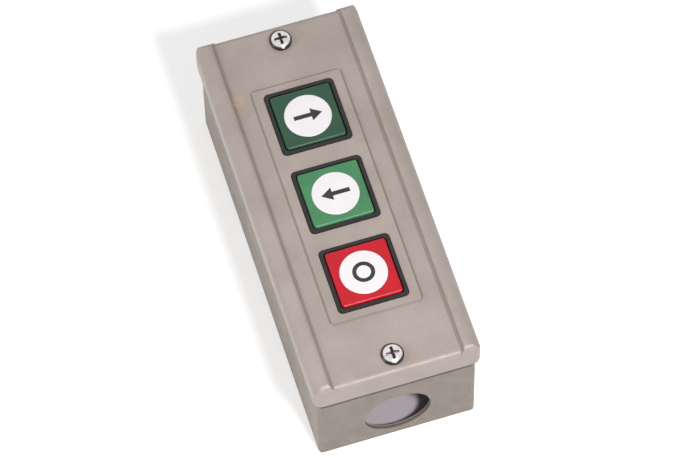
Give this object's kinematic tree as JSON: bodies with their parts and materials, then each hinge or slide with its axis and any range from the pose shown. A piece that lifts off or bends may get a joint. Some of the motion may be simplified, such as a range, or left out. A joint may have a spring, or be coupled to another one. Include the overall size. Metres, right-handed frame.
{
  "type": "push-button control station",
  "caption": "Surface-mounted motor control station with square forward, reverse and off push-buttons in a pressed steel cover over a steel box with a cable entry.",
  "frame": {"origin": "centre of the back face, which lies on the mounting surface", "axes": "+Z out of the front, towards the user; +Y towards the top end of the station; +X to the right as seen from the front"},
  "size_m": [0.05, 0.12, 0.044],
  "materials": {
    "cover_paint": "semi-gloss beige-grey paint on pressed steel",
    "base_paint": "satin beige-grey paint on sheet steel",
    "screw_zinc": "bright zinc",
    "plain_steel": "plain steel",
    "brass": "plain brass",
    "contact_copper": "copper alloy strip",
    "block_phenolic": "moulded phenolic",
    "black_plastic": "moulded black, fine texture",
    "plunger_plastic": "natural moulding",
    "cap_dark_green": "glossy moulded",
    "cap_green": "glossy moulded",
    "cap_red": "glossy moulded",
    "disc_white": "satin white",
    "liner_fibre": "pressed fibre sheet"
  },
  "bodies": {
    "station": {"base_box": "base_paint", "cover": "cover_paint", "cover_screws": "screw_zinc", "insulating_liner": "liner_fibre", "contact_block": "block_phenolic", "block_screws": "plain_steel", "guide_frame": "black_plastic", "frame_screws": "plain_steel", "earth_screw": "brass", "forward_spring": "plain_steel", "reverse_spring": "plain_steel", "off_spring": "plain_steel", "latch_spring": "plain_steel", "make_contacts": "contact_copper", "break_contacts": "contact_copper", "terminal_screws": "screw_zinc", "terminal_clamps": "screw_zinc"},
    "forward_button": {"forward_cap": "cap_dark_green", "forward_disc": "disc_white", "forward_plunger": "plunger_plastic", "forward_bridges": "contact_copper", "forward_contact_springs": "plain_steel"},
    "reverse_button": {"reverse_cap": "cap_green", "reverse_disc": "disc_white", "reverse_plunger": "plunger_plastic", "reverse_bridges": "contact_copper", "reverse_contact_springs": "plain_steel"},
    "off_button": {"off_cap": "cap_red", "off_disc": "disc_white", "off_plunger": "plunger_plastic", "off_bridges": "contact_copper", "off_contact_springs": "plain_steel"},
    "latch": {"latch_bar": "plain_steel"}
  },
  "joints": [
    {"name": "forward_press", "type": "slide", "parent": "station", "child": "forward_button", "axis": [0, 0, -1], "range_m": [0, 0.004], "stiffness_N_per_m": 600, "springref_m": -0.004, "deforming": ["forward_spring"]},
    {"name": "reverse_press", "type": "slide", "parent": "station", "child": "reverse_button", "axis": [0, 0, -1], "range_m": [0, 0.004], "stiffness_N_per_m": 600, "springref_m": -0.004, "deforming": ["reverse_spring"]},
    {"name": "off_press", "type": "slide", "parent": "station", "child": "off_button", "axis": [0, 0, -1], "range_m": [0, 0.004], "stiffness_N_per_m": 600, "springref_m": -0.004, "deforming": ["off_spring"]},
    {"name": "latch_slide", "type": "slide", "parent": "station", "child": "latch", "axis": [0, 1, 0], "range_m": [0, 0.002], "stiffness_N_per_m": 300, "springref_m": -0.002, "deforming": ["latch_spring"]}
  ],
  "couplings": [
    {"joint": "latch_slide", "follows": "off_press", "ratio": 0.5}
  ]
}
